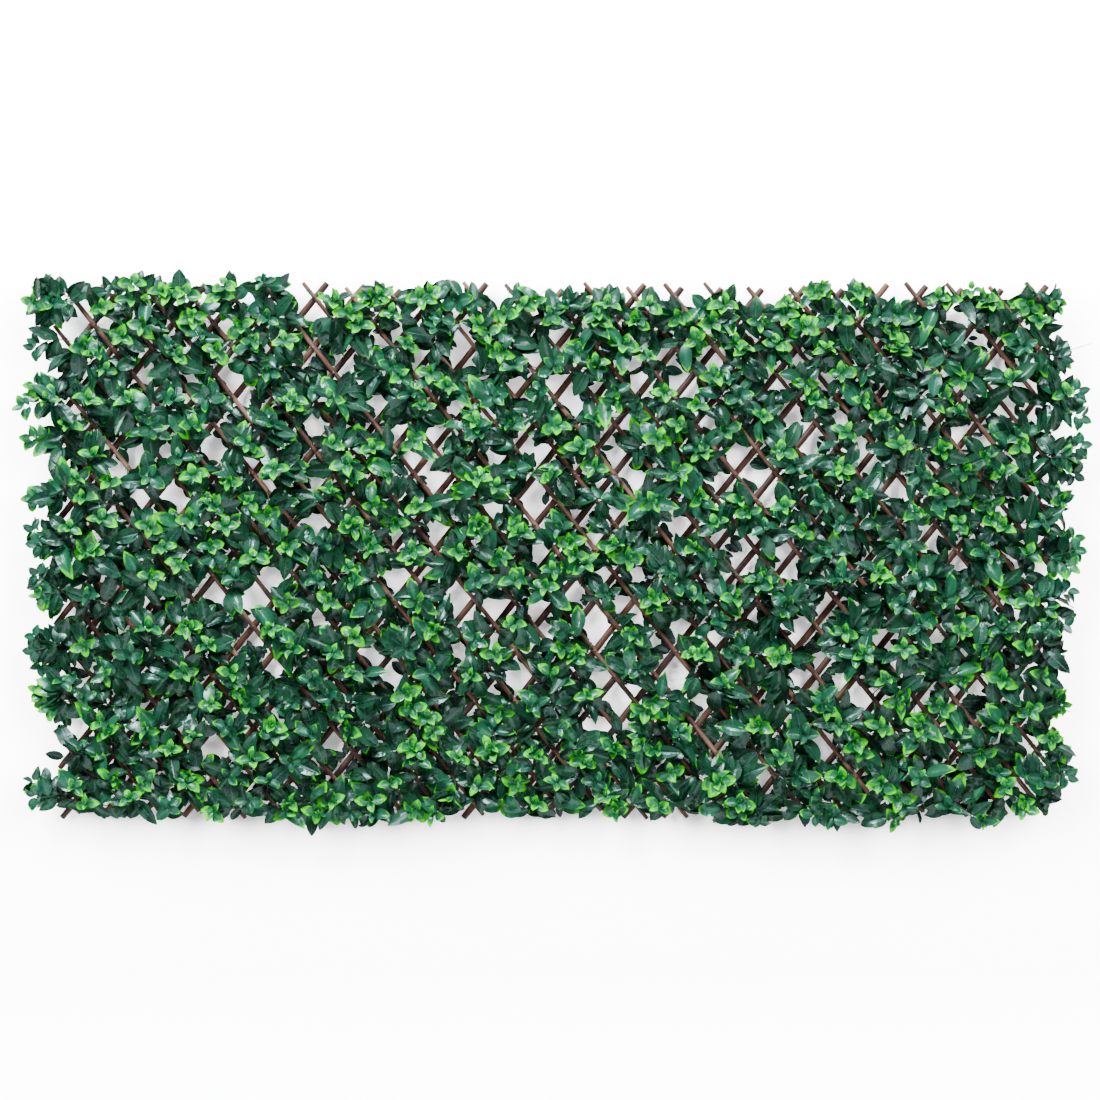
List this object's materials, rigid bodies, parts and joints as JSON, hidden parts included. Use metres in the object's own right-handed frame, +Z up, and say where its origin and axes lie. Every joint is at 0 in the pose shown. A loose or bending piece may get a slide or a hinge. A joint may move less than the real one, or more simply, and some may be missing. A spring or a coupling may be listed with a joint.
{
  "type": "expandable hedge trellis",
  "caption": "Folding diamond lattice of brown willow sticks pivoted where they cross, covered with two-tone green artificial leaf sprays tied along the front sticks.",
  "frame": {"origin": "the middle crossing, on the plane at the back that lies against the wall", "axes": "+X to the right seen from the front, +Z up, the leaves face -Y and the wall is at +Y"},
  "size_m": [2.0635, 0.0812, 1.0748],
  "materials": {
    "back_willow": "matt bark",
    "front_willow": "satin bark",
    "leaf": "glossy, lime at the edges of young leaves",
    "nail": "bright wire nail"
  },
  "bodies": {
    "centre_pin": {"centre_pin": "nail"},
    "back_left_8": {"back_stick_left_8": "back_willow"},
    "back_left_7": {"back_stick_left_7": "back_willow"},
    "back_left_6": {"back_stick_left_6": "back_willow"},
    "back_left_5": {"back_stick_left_5": "back_willow"},
    "back_left_4": {"back_stick_left_4": "back_willow"},
    "back_left_3": {"back_stick_left_3": "back_willow"},
    "back_left_2": {"back_stick_left_2": "back_willow"},
    "back_left_1": {"back_stick_left_1": "back_willow"},
    "back_middle": {"back_stick_middle": "back_willow"},
    "back_right_1": {"back_stick_right_1": "back_willow"},
    "back_right_2": {"back_stick_right_2": "back_willow"},
    "back_right_3": {"back_stick_right_3": "back_willow"},
    "back_right_4": {"back_stick_right_4": "back_willow"},
    "back_right_5": {"back_stick_right_5": "back_willow"},
    "back_right_6": {"back_stick_right_6": "back_willow"},
    "back_right_7": {"back_stick_right_7": "back_willow"},
    "back_right_8": {"back_stick_right_8": "back_willow"},
    "front_left_8": {"front_stick_left_8": "front_willow", "leaf_vine_left_8": "leaf"},
    "front_left_7": {"front_stick_left_7": "front_willow", "leaf_vine_left_7": "leaf"},
    "front_left_6": {"front_stick_left_6": "front_willow", "leaf_vine_left_6": "leaf"},
    "front_left_5": {"front_stick_left_5": "front_willow", "leaf_vine_left_5": "leaf"},
    "front_left_4": {"front_stick_left_4": "front_willow", "leaf_vine_left_4": "leaf"},
    "front_left_3": {"front_stick_left_3": "front_willow", "leaf_vine_left_3": "leaf"},
    "front_left_2": {"front_stick_left_2": "front_willow", "leaf_vine_left_2": "leaf"},
    "front_left_1": {"front_stick_left_1": "front_willow", "leaf_vine_left_1": "leaf"},
    "front_middle": {"front_stick_middle": "front_willow", "leaf_vine_middle": "leaf"},
    "front_right_1": {"front_stick_right_1": "front_willow", "leaf_vine_right_1": "leaf"},
    "front_right_2": {"front_stick_right_2": "front_willow", "leaf_vine_right_2": "leaf"},
    "front_right_3": {"front_stick_right_3": "front_willow", "leaf_vine_right_3": "leaf"},
    "front_right_4": {"front_stick_right_4": "front_willow", "leaf_vine_right_4": "leaf"},
    "front_right_5": {"front_stick_right_5": "front_willow", "leaf_vine_right_5": "leaf"},
    "front_right_6": {"front_stick_right_6": "front_willow", "leaf_vine_right_6": "leaf"},
    "front_right_7": {"front_stick_right_7": "front_willow", "leaf_vine_right_7": "leaf"},
    "front_right_8": {"front_stick_right_8": "front_willow", "leaf_vine_right_8": "leaf"}
  },
  "joints": [
    {"name": "fold", "type": "hinge", "parent": "centre_pin", "child": "back_middle", "pos_m": [0, -0.01315, 0], "axis": [0, -1, 0], "range_deg": [-17, 29], "deforming": ["leaf_vine_left_8", "leaf_vine_left_7", "leaf_vine_left_6", "leaf_vine_left_5", "leaf_vine_left_4", "leaf_vine_left_3", "leaf_vine_left_2", "leaf_vine_left_1", "leaf_vine_middle", "leaf_vine_right_1", "leaf_vine_right_2", "leaf_vine_right_3", "leaf_vine_right_4", "leaf_vine_right_5", "leaf_vine_right_6", "leaf_vine_right_7", "leaf_vine_right_8"]},
    {"name": "front_fold", "type": "hinge", "parent": "centre_pin", "child": "front_middle", "pos_m": [0, -0.01315, 0], "axis": [0, -1, 0], "range_deg": [-29, 17]},
    {"name": "back_left_8_pivot", "type": "hinge", "parent": "front_left_4", "child": "back_left_8", "pos_m": [-0.9216, -0.01315, 0.3862], "axis": [0, -1, 0], "range_deg": [-34, 58]},
    {"name": "back_left_7_pivot", "type": "hinge", "parent": "front_left_4", "child": "back_left_7", "pos_m": [-0.8448, -0.01315, 0.28965], "axis": [0, -1, 0], "range_deg": [-34, 58]},
    {"name": "back_left_6_pivot", "type": "hinge", "parent": "front_left_4", "child": "back_left_6", "pos_m": [-0.768, -0.01315, 0.1931], "axis": [0, -1, 0], "range_deg": [-34, 58]},
    {"name": "back_left_5_pivot", "type": "hinge", "parent": "front_middle", "child": "back_left_5", "pos_m": [-0.384, -0.01315, 0.48275], "axis": [0, -1, 0], "range_deg": [-34, 58]},
    {"name": "back_left_4_pivot", "type": "hinge", "parent": "front_middle", "child": "back_left_4", "pos_m": [-0.3072, -0.01315, 0.3862], "axis": [0, -1, 0], "range_deg": [-34, 58]},
    {"name": "back_left_3_pivot", "type": "hinge", "parent": "front_middle", "child": "back_left_3", "pos_m": [-0.2304, -0.01315, 0.28965], "axis": [0, -1, 0], "range_deg": [-34, 58]},
    {"name": "back_left_2_pivot", "type": "hinge", "parent": "front_middle", "child": "back_left_2", "pos_m": [-0.1536, -0.01315, 0.1931], "axis": [0, -1, 0], "range_deg": [-34, 58]},
    {"name": "back_left_1_pivot", "type": "hinge", "parent": "front_middle", "child": "back_left_1", "pos_m": [-0.0768, -0.01315, 0.09655], "axis": [0, -1, 0], "range_deg": [-34, 58]},
    {"name": "back_right_1_pivot", "type": "hinge", "parent": "front_middle", "child": "back_right_1", "pos_m": [0.0768, -0.01315, -0.09655], "axis": [0, -1, 0], "range_deg": [-34, 58]},
    {"name": "back_right_2_pivot", "type": "hinge", "parent": "front_middle", "child": "back_right_2", "pos_m": [0.1536, -0.01315, -0.1931], "axis": [0, -1, 0], "range_deg": [-34, 58]},
    {"name": "back_right_3_pivot", "type": "hinge", "parent": "front_middle", "child": "back_right_3", "pos_m": [0.2304, -0.01315, -0.28965], "axis": [0, -1, 0], "range_deg": [-34, 58]},
    {"name": "back_right_4_pivot", "type": "hinge", "parent": "front_middle", "child": "back_right_4", "pos_m": [0.3072, -0.01315, -0.3862], "axis": [0, -1, 0], "range_deg": [-34, 58]},
    {"name": "back_right_5_pivot", "type": "hinge", "parent": "front_middle", "child": "back_right_5", "pos_m": [0.384, -0.01315, -0.48275], "axis": [0, -1, 0], "range_deg": [-34, 58]},
    {"name": "back_right_6_pivot", "type": "hinge", "parent": "front_right_4", "child": "back_right_6", "pos_m": [0.768, -0.01315, -0.1931], "axis": [0, -1, 0], "range_deg": [-34, 58]},
    {"name": "back_right_7_pivot", "type": "hinge", "parent": "front_right_4", "child": "back_right_7", "pos_m": [0.8448, -0.01315, -0.28965], "axis": [0, -1, 0], "range_deg": [-34, 58]},
    {"name": "back_right_8_pivot", "type": "hinge", "parent": "front_right_4", "child": "back_right_8", "pos_m": [0.9216, -0.01315, -0.3862], "axis": [0, -1, 0], "range_deg": [-34, 58]},
    {"name": "front_left_8_pivot", "type": "hinge", "parent": "back_left_4", "child": "front_left_8", "pos_m": [-0.9216, -0.01315, -0.3862], "axis": [0, -1, 0], "range_deg": [-58, 34]},
    {"name": "front_left_7_pivot", "type": "hinge", "parent": "back_left_4", "child": "front_left_7", "pos_m": [-0.8448, -0.01315, -0.28965], "axis": [0, -1, 0], "range_deg": [-58, 34]},
    {"name": "front_left_6_pivot", "type": "hinge", "parent": "back_left_4", "child": "front_left_6", "pos_m": [-0.768, -0.01315, -0.1931], "axis": [0, -1, 0], "range_deg": [-58, 34]},
    {"name": "front_left_5_pivot", "type": "hinge", "parent": "back_middle", "child": "front_left_5", "pos_m": [-0.384, -0.01315, -0.48275], "axis": [0, -1, 0], "range_deg": [-58, 34]},
    {"name": "front_left_4_pivot", "type": "hinge", "parent": "back_middle", "child": "front_left_4", "pos_m": [-0.3072, -0.01315, -0.3862], "axis": [0, -1, 0], "range_deg": [-58, 34]},
    {"name": "front_left_3_pivot", "type": "hinge", "parent": "back_middle", "child": "front_left_3", "pos_m": [-0.2304, -0.01315, -0.28965], "axis": [0, -1, 0], "range_deg": [-58, 34]},
    {"name": "front_left_2_pivot", "type": "hinge", "parent": "back_middle", "child": "front_left_2", "pos_m": [-0.1536, -0.01315, -0.1931], "axis": [0, -1, 0], "range_deg": [-58, 34]},
    {"name": "front_left_1_pivot", "type": "hinge", "parent": "back_middle", "child": "front_left_1", "pos_m": [-0.0768, -0.01315, -0.09655], "axis": [0, -1, 0], "range_deg": [-58, 34]},
    {"name": "front_right_1_pivot", "type": "hinge", "parent": "back_middle", "child": "front_right_1", "pos_m": [0.0768, -0.01315, 0.09655], "axis": [0, -1, 0], "range_deg": [-58, 34]},
    {"name": "front_right_2_pivot", "type": "hinge", "parent": "back_middle", "child": "front_right_2", "pos_m": [0.1536, -0.01315, 0.1931], "axis": [0, -1, 0], "range_deg": [-58, 34]},
    {"name": "front_right_3_pivot", "type": "hinge", "parent": "back_middle", "child": "front_right_3", "pos_m": [0.2304, -0.01315, 0.28965], "axis": [0, -1, 0], "range_deg": [-58, 34]},
    {"name": "front_right_4_pivot", "type": "hinge", "parent": "back_middle", "child": "front_right_4", "pos_m": [0.3072, -0.01315, 0.3862], "axis": [0, -1, 0], "range_deg": [-58, 34]},
    {"name": "front_right_5_pivot", "type": "hinge", "parent": "back_middle", "child": "front_right_5", "pos_m": [0.384, -0.01315, 0.48275], "axis": [0, -1, 0], "range_deg": [-58, 34]},
    {"name": "front_right_6_pivot", "type": "hinge", "parent": "back_right_4", "child": "front_right_6", "pos_m": [0.768, -0.01315, 0.1931], "axis": [0, -1, 0], "range_deg": [-58, 34]},
    {"name": "front_right_7_pivot", "type": "hinge", "parent": "back_right_4", "child": "front_right_7", "pos_m": [0.8448, -0.01315, 0.28965], "axis": [0, -1, 0], "range_deg": [-58, 34]},
    {"name": "front_right_8_pivot", "type": "hinge", "parent": "back_right_4", "child": "front_right_8", "pos_m": [0.9216, -0.01315, 0.3862], "axis": [0, -1, 0], "range_deg": [-58, 34]}
  ],
  "couplings": [
    {"joint": "front_fold", "follows": "fold", "ratio": -1},
    {"joint": "back_left_8_pivot", "follows": "fold", "ratio": 2},
    {"joint": "back_left_7_pivot", "follows": "fold", "ratio": 2},
    {"joint": "back_left_6_pivot", "follows": "fold", "ratio": 2},
    {"joint": "back_left_5_pivot", "follows": "fold", "ratio": 2},
    {"joint": "back_left_4_pivot", "follows": "fold", "ratio": 2},
    {"joint": "back_left_3_pivot", "follows": "fold", "ratio": 2},
    {"joint": "back_left_2_pivot", "follows": "fold", "ratio": 2},
    {"joint": "back_left_1_pivot", "follows": "fold", "ratio": 2},
    {"joint": "back_right_1_pivot", "follows": "fold", "ratio": 2},
    {"joint": "back_right_2_pivot", "follows": "fold", "ratio": 2},
    {"joint": "back_right_3_pivot", "follows": "fold", "ratio": 2},
    {"joint": "back_right_4_pivot", "follows": "fold", "ratio": 2},
    {"joint": "back_right_5_pivot", "follows": "fold", "ratio": 2},
    {"joint": "back_right_6_pivot", "follows": "fold", "ratio": 2},
    {"joint": "back_right_7_pivot", "follows": "fold", "ratio": 2},
    {"joint": "back_right_8_pivot", "follows": "fold", "ratio": 2},
    {"joint": "front_left_8_pivot", "follows": "fold", "ratio": -2},
    {"joint": "front_left_7_pivot", "follows": "fold", "ratio": -2},
    {"joint": "front_left_6_pivot", "follows": "fold", "ratio": -2},
    {"joint": "front_left_5_pivot", "follows": "fold", "ratio": -2},
    {"joint": "front_left_4_pivot", "follows": "fold", "ratio": -2},
    {"joint": "front_left_3_pivot", "follows": "fold", "ratio": -2},
    {"joint": "front_left_2_pivot", "follows": "fold", "ratio": -2},
    {"joint": "front_left_1_pivot", "follows": "fold", "ratio": -2},
    {"joint": "front_right_1_pivot", "follows": "fold", "ratio": -2},
    {"joint": "front_right_2_pivot", "follows": "fold", "ratio": -2},
    {"joint": "front_right_3_pivot", "follows": "fold", "ratio": -2},
    {"joint": "front_right_4_pivot", "follows": "fold", "ratio": -2},
    {"joint": "front_right_5_pivot", "follows": "fold", "ratio": -2},
    {"joint": "front_right_6_pivot", "follows": "fold", "ratio": -2},
    {"joint": "front_right_7_pivot", "follows": "fold", "ratio": -2},
    {"joint": "front_right_8_pivot", "follows": "fold", "ratio": -2}
  ]
}
